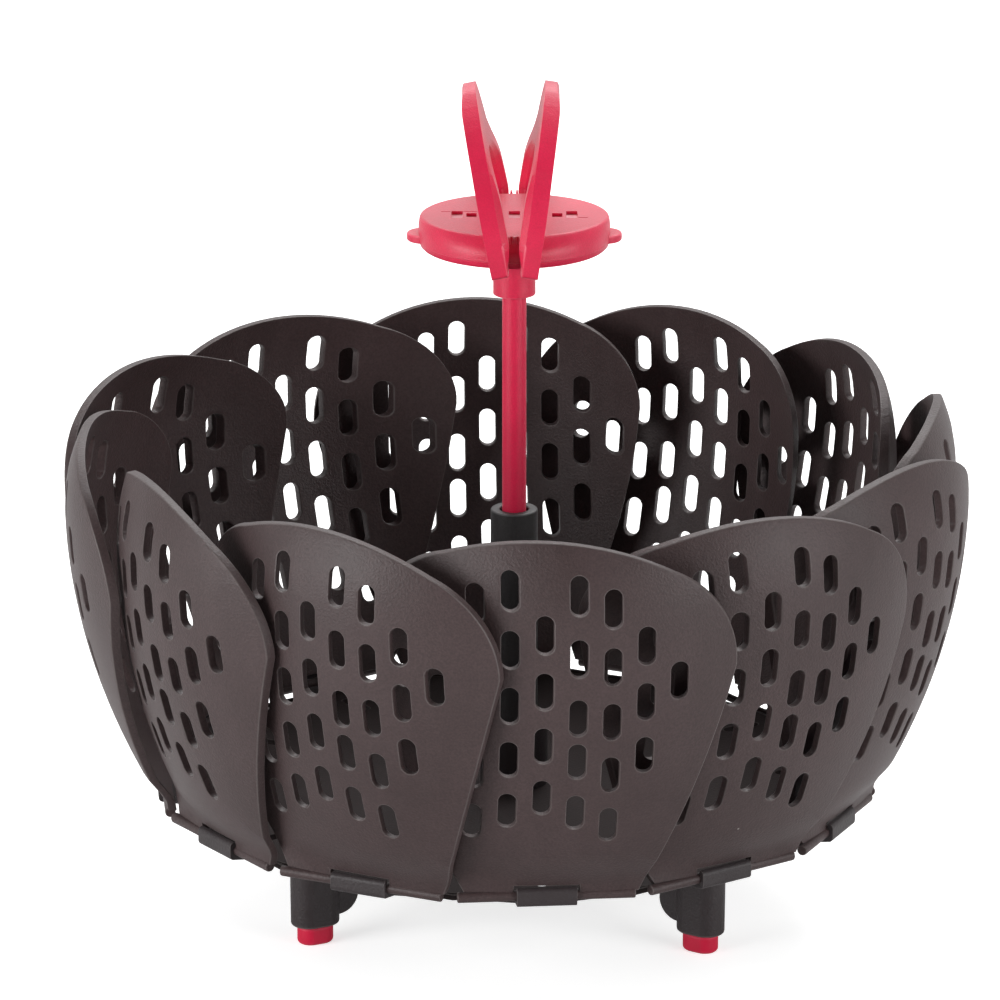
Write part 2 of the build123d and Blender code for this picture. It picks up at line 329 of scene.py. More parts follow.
mouldGrain = makeMouldGrain()
fineDust = makeFineDust()
paintedRimHighlight = makeRimPolish()


def makePlastic(name, look):
    material = bpy.data.materials.new(name)
    material.use_nodes = True
    nodes, links = material.node_tree.nodes, material.node_tree.links
    shader = nodes["Principled BSDF"]
    grain = addGroup(
        nodes, mouldGrain, {"Grain Scale": look["grainScale"], "Cloud Scale": look["cloudScale"]})
    speck = addGroup(nodes, fineDust, {"Speck Scale": look["speckScale"], "Coverage": look["speckCover"]})
    rim = addGroup(nodes, paintedRimHighlight, {"Breakup Scale": paintedHighlight["breakup"]})
    clouded = addRange(nodes, links, grain.outputs["Cloud"], mould["cloudSpan"])
    base = mixColour(nodes, links, clouded, look["dark"], look["pale"])
    streaked = addRange(nodes, links, grain.outputs["Flow"], mould["flowSpan"], (0.0, look["flowShare"]))
    base = mixColour(nodes, links, streaked, base, look["flow"])
    grained = addRange(nodes, links, grain.outputs["Grain"], mould["grainSpan"], (0.0, look["grainShare"]))
    base = mixColour(nodes, links, grained, base, look["grain"])
    # a painted highlight along the rounded rims, in the look's rim colour
    highlight = addMath(nodes, links, "MULTIPLY", rim.outputs["Rim"], look["rimHighlightShare"])
    base = mixColour(nodes, links, highlight, base, look["rim"])
    base = mixColour(nodes, links, speck.outputs["Speck"], base, look["speck"])
    links.new(base, shader.inputs["Base Color"])
    rough = addRange(nodes, links, grain.outputs["Cloud"], toSpan=(look["roughLow"], look["roughHigh"]))
    links.new(rough, shader.inputs["Roughness"])
    bump = nodes.new("ShaderNodeBump")
    bump.inputs["Strength"].default_value = look["bump"]
    bump.inputs["Distance"].default_value = look["bumpDepth"]
    links.new(grain.outputs["Grain"], bump.inputs["Height"])
    links.new(bump.outputs["Normal"], shader.inputs["Normal"])
    shader.inputs["IOR"].default_value = look["ior"]
    shader.inputs["Sheen Weight"].default_value = look["sheen"]
    return material


# Looks, colours in linear values; each rim colour is a painted highlight along the rounded rims
darkNylonLook = {
    "dark": (0.042, 0.0245, 0.0245), "pale": (0.056, 0.034, 0.0345),
    "flow": (0.070, 0.045, 0.045), "flowShare": 0.3, "grain": (0.020, 0.012, 0.012), "grainShare": 0.45,
    "rim": (0.15, 0.132, 0.128), "rimHighlightShare": 0.55, "speck": (0.28, 0.26, 0.25),
    "grainScale": 2000.0, "cloudScale": 38.0, "speckScale": 150.0, "speckCover": 0.03,
    "roughLow": 0.42, "roughHigh": 0.58, "bump": 0.55, "bumpDepth": 0.0002,
    "ior": 1.42, "sheen": 0.05}
# a darker copy of the petals' nylon: painted shade on the hub, hooks and legs, under and inside the basket
baseNylonPaintedShadeLook = {
    **darkNylonLook,
    "dark": (0.022, 0.0165, 0.018), "pale": (0.032, 0.0245, 0.0265), "flow": (0.044, 0.035, 0.037)}
# the plate and its curb get a darker, duller copy of the petals' nylon: painted shade inside the basket
plateNylonPaintedShadeLook = {
    **darkNylonLook,
    "dark": (0.017, 0.012, 0.012), "pale": (0.026, 0.019, 0.019), "flow": (0.034, 0.025, 0.025),
    "roughLow": 0.7, "roughHigh": 0.85, "ior": 1.25, "sheen": 0.0}
blackNylonLook = {
    "dark": (0.020, 0.0182, 0.0188), "pale": (0.029, 0.0265, 0.027),
    "flow": (0.048, 0.045, 0.045), "flowShare": 0.3, "grain": (0.012, 0.011, 0.011), "grainShare": 0.4,
    "rim": (0.12, 0.116, 0.118), "rimHighlightShare": 0.4, "speck": (0.3, 0.29, 0.28),
    "grainScale": 2100.0, "cloudScale": 55.0, "speckScale": 180.0, "speckCover": 0.03,
    "roughLow": 0.36, "roughHigh": 0.52, "bump": 0.35, "bumpDepth": 0.00012,
    "ior": 1.42, "sheen": 0.03}
redGripLook = {
    "dark": (0.58, 0.003, 0.046), "pale": (0.68, 0.007, 0.060),
    "flow": (0.72, 0.018, 0.082), "flowShare": 0.3, "grain": (0.42, 0.002, 0.030), "grainShare": 0.35,
    "rim": (0.86, 0.17, 0.23), "rimHighlightShare": 0.5, "speck": (0.78, 0.3, 0.34),
    "grainScale": 3000.0, "cloudScale": 70.0, "speckScale": 260.0, "speckCover": 0.012,
    "roughLow": 0.36, "roughHigh": 0.48, "bump": 0.4, "bumpDepth": 0.00018,
    "ior": 1.48, "sheen": 0.16}
# the windows' floors are painted pale pink: a painted reflection, like the glossy top's
paintedWindowReflectionLook = {**redGripLook, "dark": (0.78, 0.34, 0.38), "pale": (0.82, 0.42, 0.46), "grainShare": 0.0}
redSiliconeLook = {
    "dark": (0.50, 0.002, 0.033), "pale": (0.60, 0.004, 0.044),
    "flow": (0.62, 0.008, 0.055), "flowShare": 0.25, "grain": (0.5, 0.002, 0.03), "grainShare": 0.3,
    "rim": (0.6, 0.07, 0.12), "rimHighlightShare": 0.3, "speck": (0.6, 0.3, 0.3),
    "grainScale": 3600.0, "cloudScale": 120.0, "speckScale": 400.0, "speckCover": 0.02,
    "roughLow": 0.48, "roughHigh": 0.62, "bump": 0.2, "bumpDepth": 0.00008,
    "ior": 1.38, "sheen": 0.1}

darkNylon = makePlastic("darkNylon", darkNylonLook)
baseNylonPaintedShade = makePlastic("baseNylonPaintedShade", baseNylonPaintedShadeLook)
plateNylonPaintedShade = makePlastic("plateNylonPaintedShade", plateNylonPaintedShadeLook)
blackNylon = makePlastic("blackNylon", blackNylonLook)
redGrip = makePlastic("redGrip", redGripLook)
paintedWindowReflection = makePlastic("paintedWindowReflection", paintedWindowReflectionLook)
redSilicone = makePlastic("redSilicone", redSiliconeLook)
print("materials made")

# Petals: a slotted sheet is drawn flat and then laid on the rolled wall
petal = {
    "thick": 1.95, "rim": 0.42, "rimSteps": 2,
    # the wall's lean, bow and curl with height, and its roll across
    "halfHeight": 45.0, "depth": 94.3, "leanRise": 8.33, "bow": 8.42, "flare": 0.39,
    "curl": 2.9, "curlFrom": 60.0, "crown": 82.3,
    "round": 59.1, "roundDrop": 4.9, "roll": 0.154, "rollRise": 0.047, "rollBow": 0.0105,
    "footDepth": 76.8, "footRound": 300.0, "footRoll": 0.02, "footBlend": 9.0,
    # the outline, from the left foot round the crown to the right foot
    "footLeft": 17.1, "footRight": 19.3, "footRise": 0.6,
    "leftFlank": (-29.8, 30.0), "leftBelly": (-35.0, 59.0), "leftShoulder": (-31.9, 71.4),
    "leftBrow": (-22.0, 78.4), "crownAcross": 0.5, "rightBrow": (24.6, 75.8), "rightShoulder": (34.5, 67.2),
    "rightBelly": (38.0, 54.0), "rightFlank": (30.6, 29.5),
    "flankSteps": 20, "shoulderSteps": 14, "crownSteps": 18, "notchHalf": 6.85, "notchHeight": 2.35,
    # the sheet is cut into a grid before it is rolled
    "grid": 3.0, "gridReach": 13, "gridMiddle": 42.0,
    # slots: column, height of the lowest, pitch and number
    "slotWidth": 3.65, "slotLength": 8.3, "slotMiddle": -2.2, "slotPitch": 6.95, "slotSegments": 20,
    "columns": [(-4, 52.6, 12.5, 1), (-3, 36.0, 12.5, 3), (-2, 19.2, 12.5, 5), (-1, 22.5, 12.5, 5),
                (0, 26.1, 12.5, 4), (1, 22.5, 12.5, 2), (1, 45.2, 13.4, 3), (2, 19.2, 12.5, 5),
                (3, 36.0, 12.5, 3), (4, 52.6, 12.5, 1)],
    "rodRadius": 1.15, "rodLength": 37.4, "rodRim": 0.3}


def wallPlace(across, height, inset):
    rise = (height - petal["halfHeight"]) / petal["halfHeight"]
    middle = petal["depth"] + petal["leanRise"] * rise - petal["bow"] * rise ** 2 + petal["flare"] * rise ** 3
    middle -= petal["curl"] * (max(height - petal["curlFrom"], 0) / (petal["crown"] - petal["curlFrom"])) ** 3
    slope = petal["roll"] + petal["rollRise"] * rise + petal["rollBow"] * rise ** 2
    bend = 1 / (petal["round"] - petal["roundDrop"] * rise)
    # towards the foot the wall goes over into the nearly straight hinge line
    blend = fade(height, 0, petal["footBlend"])
    middle = petal["footDepth"] + (middle - petal["footDepth"]) * blend
    slope = petal["footRoll"] + (slope - petal["footRoll"]) * blend
    bend = 1 / petal["footRound"] + (bend - 1 / petal["footRound"]) * blend
    length = hypot(1, slope)
    centre = slope / length / bend
    reach = sqrt((1 / bend - inset) ** 2 - (across - centre) ** 2)
    return Vector((across, -(middle - 1 / length / bend + reach), hingeHeight + height))


def makePetalSheet():
    bm = bmesh.new()
    notch, rise = petal["notchHalf"], petal["footRise"]
    first = startOutline(bm, (-petal["footLeft"], rise))
    last = drawArc(bm, first, petal["leftFlank"], petal["leftBelly"], petal["flankSteps"])
    last = drawArc(bm, last, petal["leftShoulder"], petal["leftBrow"], petal["shoulderSteps"])
    last = drawArc(bm, last, (petal["crownAcross"], petal["crown"]), petal["rightBrow"], petal["crownSteps"])
    last = drawArc(bm, last, petal["rightShoulder"], petal["rightBelly"], petal["shoulderSteps"])
    last = drawArc(bm, last, petal["rightFlank"], (petal["footRight"], rise), petal["flankSteps"])
    last = drawLines(bm, last, [(notch, rise), (notch, petal["notchHeight"]),
                                (-notch, petal["notchHeight"]), (-notch, rise)])
    closeOutline(bm, last, first)
    for column, lowest, pitch, rows in petal["columns"]:
        for row in range(rows):
            drawOval(bm, petal["slotMiddle"] + column * petal["slotPitch"], lowest + row * pitch,
                     petal["slotWidth"], petal["slotLength"], petal["slotSegments"])
    fillSheet(bm, petal["thick"], petal["rim"], petal["rimSteps"])
    for cut in range(-petal["gridReach"], petal["gridReach"] + 1):
        cutThrough(bm, (cut * petal["grid"], 0, 0), (1, 0, 0))
        cutThrough(bm, (0, 0, cut * petal["grid"] + petal["gridMiddle"]), (0, 0, 1))
    for vert in bm.verts:
        vert.co = wallPlace(vert.co.x, vert.co.z, vert.co.y)
    return bm


petalSheet = makePetalSheet()
print("petal sheet:", len(petalSheet.faces), "faces")
rodPlace = Matrix.Translation((0, -hingeRadius, hingeHeight)) @ Matrix.Rotation(pi / 2, 4, "Y")
for index in range(ringCount):
    number = f"{index + 1:02d}"
    turn = turned(firstTurn + ringStep * index)
    makePiece("petalWall" + number, petalSheet.copy(), darkNylon, "petal_" + number,
              ["petal_" + number], turn)
    makePiece("petalRod" + number, makeRod(petal["rodRadius"], petal["rodLength"], petal["rodRim"], rodPlace),
              darkNylon, "petal_" + number, ["petal_" + number], turn)
petalSheet.free()
print("petals made")

# Base plate with its drain slots, and the curb along its edge
plate = {
    "top": 29.5, "thick": 1.6, "apothem": 71.5, "rim": 0.3, "hubHole": 7.4, "hubHoleSegments": 64,
    "drainWidth": 2.8, "drainLength": 9.0, "drainRadius": 62.0, "drainSegments": 20,
    "curb": [(70.8, 29.0), (72.4, 29.0), (72.4, 30.2), (71.7, 30.2), (71.7, 29.4), (70.8, 29.4)],
    "curbRim": 0.15}
cornerShare = 1 / cos(pi / ringCount)  # of a twelve-sided ring's corner to the middle of its sides

bm = bmesh.new()
drawCircle(bm, plate["apothem"] * cornerShare, ringCount, radians(firstTurn))
drawCircle(bm, plate["hubHole"], plate["hubHoleSegments"])
for index in range(ringCount):
    angle = firstTurn + ringStep * index
    drawOval(bm, plate["drainRadius"] * cos(radians(angle)), plate["drainRadius"] * sin(radians(angle)),
             plate["drainWidth"], plate["drainLength"], plate["drainSegments"], 90 - angle)
fillSheet(bm, plate["thick"], plate["rim"], fineSteps)
makePiece("basePlate", bm, plateNylonPaintedShade, "base", ["base_plate"], laidFlat(0, 0, plate["top"]))

# the low curb closes the view under the rods
bm = bmesh.new()
first = startOutline(bm, plate["curb"][0])
closeOutline(bm, drawLines(bm, first, plate["curb"][1:]), first)
bmesh.ops.scale(bm, vec=(cornerShare, 1, 1), verts=bm.verts[:])
spinOutline(bm, ringCount)
roundEdges(bm, sharpEdges(bm, endAngle), plate["curbRim"], fineSteps)
makePiece("plateCurb", bm, plateNylonPaintedShade, "base", [], turned(firstTurn + ringStep / 2))

# Hooks that hold the rods: an open ring round the hinge axis on an arm from the plate
hook = {"width": 12.6, "radius": 2.05, "arm": 5.2, "low": 3.1, "high": 1.5, "rim": 0.4, "rimSteps": 3,
        "bore": 1.2, "boreFrom": 75, "boreMiddle": -45, "boreTo": -165, "boreSteps": 24,
        "flat": 0.9, "cornerAcross": 0.22, "cornerRise": 0.42, "cornerSteps": 5}


def borePlace(angle):
    return hook["bore"] * cos(radians(angle)), hook["bore"] * sin(radians(angle))


def makeHook():
    # x points outward from the hinge axis
    bm = bmesh.new()
    radius, flat = hook["radius"], hook["flat"]
    cornerX, cornerZ = radius - hook["cornerAcross"], radius - hook["cornerRise"]
    first = startOutline(bm, borePlace(hook["boreFrom"]))
    last = drawArc(bm, first, borePlace(hook["boreMiddle"]), borePlace(hook["boreTo"]), hook["boreSteps"])
    last = drawLines(bm, last, [(-radius, -hook["high"]), (-hook["arm"], -hook["high"]),
                                (-hook["arm"], -hook["low"]), (flat, -radius)])
    last = drawArc(bm, last, (cornerX, -cornerZ), (radius, -flat), hook["cornerSteps"])
    last = drawLine(bm, last, (radius, flat))
    last = drawArc(bm, last, (cornerX, cornerZ), (flat, radius), hook["cornerSteps"])
    closeOutline(bm, last, first)
    fillSheet(bm, hook["width"], hook["rim"], hook["rimSteps"])
    return bm


hookPlace = (Matrix.Translation((-hook["width"] / 2, -hingeRadius, hingeHeight))
             @ Matrix.Rotation(radians(-90), 4, "Z"))
hookShape = makeHook()
for index in range(ringCount):
    makePiece(f"hingeHook{index + 1:02d}", hookShape.copy(), baseNylonPaintedShade, "base", [],
              turned(firstTurn + ringStep * index) @ hookPlace)
hookShape.free()
print("base plate and hooks made")

# Hub, tube and stem are turned from half profiles
turnedSegments = 72
hub = {"radius": 7.4, "shoulder": 9.0, "bottom": 7.6, "shoulderTop": 27.9, "floor": 9.6, "rise": 44.8,
       "bore": 5.15, "rim": 0.4, "rimSteps": 3}
tube = {"radius": 5.1, "bore": 3.1, "bottom": 26.3, "top": 91.85, "rim": 0.45, "rimSteps": 4}
stem = {"radius": 2.6, "bottom": 56.8, "piston": 3.05, "pistonTop": 62.8, "collar": 4.56,
        "collarBottom": 140.0, "top": 150.95, "rim": 0.5, "rimSteps": 4}

bm = bmesh.new()
spinProfile(bm, [(0, hub["bottom"]), (hub["shoulder"], hub["bottom"]), (hub["shoulder"], hub["shoulderTop"]),
                 (hub["radius"], hub["shoulderTop"]), (hub["radius"], hub["rise"]),
                 (hub["bore"], hub["rise"]), (hub["bore"], hub["floor"]), (0, hub["floor"])],
            turnedSegments, hub["rim"], hub["rimSteps"])
makePiece("hubSocket", bm, baseNylonPaintedShade, "base", ["hub_socket"])

bm = bmesh.new()
spinProfile(bm, [(tube["bore"], tube["bottom"]), (tube["radius"], tube["bottom"]),
                 (tube["radius"], tube["top"]), (tube["bore"], tube["top"]), (tube["bore"], tube["bottom"])],
            turnedSegments, tube["rim"], tube["rimSteps"])
makePiece("middleTube", bm, blackNylon, "tube", ["middle_tube"])

bm = bmesh.new()
spinProfile(bm, [(0, stem["bottom"]), (stem["piston"], stem["bottom"]), (stem["piston"], stem["pistonTop"]),
                 (stem["radius"], stem["pistonTop"]), (stem["radius"], stem["collarBottom"]),
                 (stem["collar"], stem["collarBottom"]), (stem["collar"], stem["top"]), (0, stem["top"])],
            turnedSegments, stem["rim"], stem["rimSteps"])
makePiece("stemRod", bm, redGrip, "grip", ["stem"])
print("hub, tube and stem made")

# Legs with their inner fins, and the soft tips
leg = {"count": 3, "turn": -63.4, "radius": 48.3, "length": 11.2, "width": 8.3, "top": 27.9, "bottom": 4.3,
       "taper": 0.2, "rim": 0.6, "rimSteps": 3, "segments": 40,
       "finThick": 2.0, "finReach": 4.5, "finBend": 11.0, "finKnee": 6.9, "finKneeShare": 0.66, "finEnd": 5.6,
       "finRim": 0.4, "finSteps": 10}
tip = {"length": 8.0, "width": 5.8, "top": 4.3, "rim": 0.9, "rimSteps": 4, "segments": 36}


def makeLegPost():
    bm = bmesh.new()
    height = leg["top"] - leg["bottom"]
    drawOval(bm, 0, 0, leg["width"], leg["length"], leg["segments"])
    fillSheet(bm, height, leg["rim"], leg["rimSteps"])
    for vert in bm.verts:
        # +Y is down here, so that the sheet's thickness becomes the post's length
        vert.co.x *= 1 - leg["taper"] / leg["width"] * 2 * vert.co.y / height
        vert.co.z *= 1 - leg["taper"] / leg["length"] * 2 * vert.co.y / height
    bmesh.ops.transform(bm, matrix=laidFlat(0, -leg["radius"], leg["top"]), verts=bm.verts[:])
    return bm


def makeLegFin():
    bm = bmesh.new()
    root = -(leg["radius"] - leg["length"] / 2)
    inner, outer = root - leg["finReach"], root + leg["finReach"]
    first = startOutline(bm, (inner, leg["top"]))
    last = drawLines(bm, first, [(outer, leg["top"]), (outer, leg["finBend"])])
    knee = (root + leg["finReach"] * leg["finKneeShare"], leg["finKnee"])
    last = drawArc(bm, last, knee, (root, leg["finEnd"]), leg["finSteps"])
    last = drawLine(bm, last, (inner, leg["finEnd"]))
    closeOutline(bm, last, first)
    fillSheet(bm, leg["finThick"], leg["finRim"], fineSteps)
    bmesh.ops.transform(
        bm, matrix=Matrix.Translation((leg["finThick"] / 2, 0, 0)) @ Matrix.Rotation(radians(90), 4, "Z"),
        verts=bm.verts[:])
    return bm


def makeFootTip():
    bm = bmesh.new()
    drawOval(bm, 0, 0, tip["width"], tip["length"], tip["segments"])
    fillSheet(bm, tip["top"], tip["rim"], tip["rimSteps"])
    bmesh.ops.transform(bm, matrix=laidFlat(0, -leg["radius"], tip["top"]), verts=bm.verts[:])
    return bm


for index in range(leg["count"]):
    turn = turned(leg["turn"] + 360.0 / leg["count"] * index)
    number = str(index + 1)
    makePiece("legPost" + number, makeLegPost(), baseNylonPaintedShade, "base", ["leg_" + number], turn)
    makePiece("legFin" + number, makeLegFin(), baseNylonPaintedShade, "base", ["leg_" + number], turn)
    makePiece("footTip" + number, makeFootTip(), redSilicone, "base", ["foot_tip_" + number],
              turn)
print("legs made")

# Grip disc: a capped ring with sunk windows, two ears, and the studs that carry the wings
disc = {"bottom": 150.95, "thick": 6.6, "radius": 20.5, "flat": (19.4, 17.2), "segments": 96,
        # half width, half depth and drop of each ring down the brow and the side
        "brow": [(19.8, 17.6, 0.06), (20.1, 17.95, 0.25), (20.3, 18.4, 0.65), (20.42, 19.1, 1.35),
                 (20.5, 19.75, 2.1), (20.5, 20.2, 2.8), (20.5, 20.43, 3.5), (20.5, 20.5, 4.2),
                 (20.5, 20.5, 5.1), (20.32, 20.32, 5.22), (20.2, 20.2, 6.2), (19.8, 19.8, 6.6)],
        "windowPitch": 12.25, "windowWidth": 2.4, "windowDepth": 5.6, "windowSink": 0.75,
        # slits beside the outer windows: middle across, middle in depth and width
        "slits": [(-14.65, 2.4, 2.0), (-9.4, 2.4, 3.0), (14.65, -2.4, 2.0)],
        "slitWidth": 0.4, "slitSink": 0.4,
        "wedgeWidth": 2.2, "wedgeDepth": 3.0, "wedgeInset": 3.1, "wedgeShift": -0.4,
        "ribOffset": 0.62, "ribPlace": 18.4, "ribSize": (0.5, 1.5, 2.0), "ribSink": 0.65, "ribRim": 0.12,
        "earReach": 23.0, "earOverlap": 3.0, "earWidth": 8.0, "earRise": 1.0, "earThick": 1.8, "earRim": 0.45,
        "earRimSteps": 3, "earSegments": 40,
        "studRadius": 1.1, "studOffset": 3.4, "studRise": 1.35, "studEnd": 25.2, "studRim": 0.25}


def drawBox(bm, x, z, width, height):
    upright = Matrix.Rotation(pi / 2, 4, "X")
    verts = bmesh.ops.create_grid(bm, x_segments=1, y_segments=1, size=0.5, matrix=upright)["verts"]
    bmesh.ops.scale(bm, vec=(width, 1, height), verts=verts)
    bmesh.ops.translate(bm, vec=(x, 0, z), verts=verts)
    bmesh.ops.delete(bm, geom=verts[0].link_faces[:], context="FACES_ONLY")
    return verts


def makeDisc():
    bm = bmesh.new()
    ring = drawCircle(bm, 1.0, disc["segments"])
    wide, deep = disc["flat"]
    bmesh.ops.scale(bm, vec=(wide, 1, deep), verts=ring)
    pitch, sink = disc["windowPitch"], disc["windowSink"]
    windows = [drawBox(bm, side * pitch, 0, disc["windowWidth"], disc["windowDepth"]) for side in (-1, 0, 1)]
    pockets = [(verts, sink) for verts in windows]
    for x, z, width in disc["slits"]:
        pockets.append((drawBox(bm, x, z, width, disc["slitWidth"]), disc["slitSink"]))
    for side in (-1, 1):
        # a wedge on the inner side of each outer window
        pockets.append((drawBox(bm, side * (pitch - disc["wedgeInset"]), disc["wedgeShift"],
                                disc["wedgeWidth"], disc["wedgeDepth"]), sink))
    fillOutlines(bm)
    ringSet = set(ring)
    edges = [e for e in bm.edges if e.is_boundary and e.verts[0] in ringSet and e.verts[1] in ringSet]
    for nextWide, nextDeep, drop in disc["brow"]:
        grown = bmesh.ops.extrude_edge_only(bm, edges=edges)["geom"]
        verts = [g for g in grown if isinstance(g, bmesh.types.BMVert)]
        edges = [g for g in grown if isinstance(g, bmesh.types.BMEdge)]
        bmesh.ops.scale(bm, vec=(nextWide / wide, 1, nextDeep / deep), verts=verts)
        for vert in verts:
            vert.co.y = drop
        wide, deep = nextWide, nextDeep
    bmesh.ops.edgeloop_fill(bm, edges=edges)
    for verts, depth in pockets:
        own = set(verts)
        rim = [e for e in bm.edges if e.verts[0] in own and e.verts[1] in own and e.is_boundary]
        grown = bmesh.ops.extrude_edge_only(bm, edges=rim)["geom"]
        bottom = [g for g in grown if isinstance(g, bmesh.types.BMVert)]
        bmesh.ops.translate(bm, vec=(0, depth, 0), verts=bottom)
        made = bmesh.ops.edgeloop_fill(bm, edges=[g for g in grown if isinstance(g, bmesh.types.BMEdge)])
        for face in made["faces"]:
            face.material_index = 1 if verts in windows else 0
    bmesh.ops.recalc_face_normals(bm, faces=bm.faces[:])
    return bm


gripDisc = makePiece("gripDisc", makeDisc(), redGrip, "grip", ["grip_disc"],
                     laidFlat(0, 0, disc["bottom"] + disc["thick"]))
gripDisc.data.materials.append(paintedWindowReflection)  # the windows' floors, painted pale pink as a painted reflection

for side, name in ((-1, "Left"), (1, "Right")):
    bm = bmesh.new()
    inner = disc["radius"] - disc["earOverlap"]
    drawOval(bm, 0, 0, disc["earWidth"], 2 * (disc["earReach"] - inner), disc["earSegments"], 90)
    fillSheet(bm, disc["earThick"], disc["earRim"], disc["earRimSteps"])
    makePiece("discEar" + name, bm, redGrip, "grip", ["grip_disc"],
              laidFlat(side * inner, 0, disc["bottom"] + disc["earRise"] + disc["earThick"]))
    studPlace = (Matrix.Translation((side * disc["studOffset"], 0, disc["bottom"] + disc["studRise"]))
                 @ Matrix.Rotation(pi / 2, 4, "X"))
    makePiece("wingStud" + name, makeRod(disc["studRadius"], 2 * disc["studEnd"], disc["studRim"], studPlace),
              redGrip, "grip", ["grip_disc"])

# two small ribs stand in each cleft between the wings, at the front and at the back
bm = bmesh.new()
for x in (-disc["ribOffset"], disc["ribOffset"]):
    for y in (-disc["ribPlace"], disc["ribPlace"]):
        rib = bmesh.ops.create_cube(bm, size=1.0)["verts"]
        bmesh.ops.scale(bm, vec=disc["ribSize"], verts=rib)
        bmesh.ops.translate(bm, vec=(x, y, disc["bottom"] + disc["thick"] - disc["ribSink"]), verts=rib)
roundEdges(bm, bm.edges[:], disc["ribRim"], fineSteps)
makePiece("cleftRibs", bm, redGrip, "grip", ["grip_disc"])
print("grip disc made")

# Wings: leaf-shaped arches that straddle the disc
wing = {"thick": 3.6, "rim": 0.95, "rimSteps": 5, "rimAngle": 60, "rimDepth": 0.1, "sharp": 20,
        # right half of the outline, and of the hole under the arch
        "half": 25.6, "boss": 2.2, "corner": 1.0, "cornerCut": 0.3, "cornerSteps": 4, "waist": (25.0, 8.4),
        "shoulder": (18.8, 20.1), "brow": (13.0, 27.6), "tip": (5.0, 33.5), "height": 34.5,
        "holeHalf": 21.3, "holeWaist": (20.6, 6.4), "holeShoulder": (16.5, 13.3), "holeHeight": 19.8,
        "flankSteps": 18, "tipSteps": 10, "holeSteps": 12, "rows": 16, "rowPitch": 2.0, "rowStart": 1.5,
        # the inner face stands proud with wide facets, most at half height
        "facet": 1.25, "facetRise": 1.35, "facetLow": (-2.2, 5.0), "facetHigh": (25.0, 12.0),
        "tipFrom": 30.0, "tipCut": 1.3, "footTop": 5.0, "footRim": 0.4,
        "leftLean": 11.3, "rightLean": 8.4, "pivotHeight": 152.3, "pivotOffset": 3.4}


def mirrored(place):
    return -place[0], place[1]


def drawWing(bm):
    half, boss, corner = wing["half"], -wing["boss"], wing["corner"]
    flankSteps, tipSteps, holeSteps = wing["flankSteps"], wing["tipSteps"], wing["holeSteps"]
    footCorner = (half - wing["cornerCut"], boss + wing["cornerCut"])
    first = startOutline(bm, (-wing["holeHalf"], boss))
    last = drawLine(bm, first, (corner - half, boss))
    last = drawArc(bm, last, mirrored(footCorner), (-half, boss + corner), wing["cornerSteps"])
    last = drawLine(bm, last, (-half, 0))
    last = drawArc(bm, last, mirrored(wing["waist"]), mirrored(wing["shoulder"]), flankSteps)
    last = drawArc(bm, last, mirrored(wing["brow"]), mirrored(wing["tip"]), tipSteps)
    last = drawArc(bm, last, (0, wing["height"]), wing["tip"], tipSteps)
    last = drawArc(bm, last, wing["brow"], wing["shoulder"], tipSteps)
    last = drawArc(bm, last, wing["waist"], (half, 0), flankSteps)
    last = drawLine(bm, last, (half, boss + corner))
    last = drawArc(bm, last, footCorner, (half - corner, boss), wing["cornerSteps"])
    last = drawLines(bm, last, [(wing["holeHalf"], boss), (wing["holeHalf"], 0)])
    last = drawArc(bm, last, wing["holeWaist"], wing["holeShoulder"], holeSteps)
    last = drawArc(bm, last, (0, wing["holeHeight"]), mirrored(wing["holeShoulder"]), flankSteps)
    last = drawArc(bm, last, mirrored(wing["holeWaist"]), (-wing["holeHalf"], 0), holeSteps)
    closeOutline(bm, last, first)


def makeWing():
    bm = bmesh.new()
    drawWing(bm)
    fillOutlines(bm)
    for row in range(wing["rows"]):
        # no row comes between the hole's top and its facet
        cutThrough(bm, (0, 0, wing["rowStart"] + wing["rowPitch"] * row), (0, 0, 1))
    grown = bmesh.ops.extrude_face_region(bm, geom=bm.faces[:])["geom"]
    cap = [g for g in grown if isinstance(g, bmesh.types.BMFace)]
    capVerts = [g for g in grown if isinstance(g, bmesh.types.BMVert)]
    bmesh.ops.translate(bm, vec=(0, wing["thick"], 0), verts=capVerts)
    bmesh.ops.recalc_face_normals(bm, faces=bm.faces[:])
    capSet = set(cap)
    footRim = [e for e in bm.edges if sum(f in capSet for f in e.link_faces) == 1
               and max(v.co.z for v in e.verts) < wing["footTop"]]
    bmesh.ops.inset_region(bm, faces=cap, thickness=wing["facet"], use_even_offset=True, use_boundary=True)
    cap = bmesh.ops.triangulate(bm, faces=cap)["faces"]
    for vert in {v for f in cap for v in f.verts}:
        height = vert.co.z
        vert.co.y += wing["facetRise"] * fade(height, *wing["facetLow"]) * fade(height, *wing["facetHigh"])
    outerRim = [e for e in sharpEdges(bm, wing["rimAngle"])
                if max(v.co.y for v in e.verts) < wing["rimDepth"]]
    roundEdges(bm, outerRim, wing["rim"], wing["rimSteps"])
    roundEdges(bm, footRim, wing["footRim"], fineSteps)
    # towards the tip the outer face draws in
    for vert in bm.verts:
        rise = max(vert.co.z - wing["tipFrom"], 0) / (wing["height"] - wing["tipFrom"])
        vert.co.y += wing["tipCut"] * rise ** 2 * max(1 - vert.co.y / wing["thick"], 0)
    bmesh.ops.translate(bm, vec=(0, -wing["thick"] / 2, 0), verts=bm.verts[:])
    return bm


for side, name, lean in ((-1, "left", wing["leftLean"]), (1, "right", wing["rightLean"])):
    place = (Matrix.Translation((side * wing["pivotOffset"], 0, wing["pivotHeight"]))
             @ Matrix.Rotation(radians(side * lean), 4, "Y")
             # the drawn outline runs along Y, its proud face towards the other wing
             @ Matrix.Rotation(radians(90 * side), 4, "Z"))
    makePiece("wingArch" + name.capitalize(), makeWing(), redGrip, "wing_" + name,
              ["wing_" + name], place, wing["sharp"])
print("wings made")

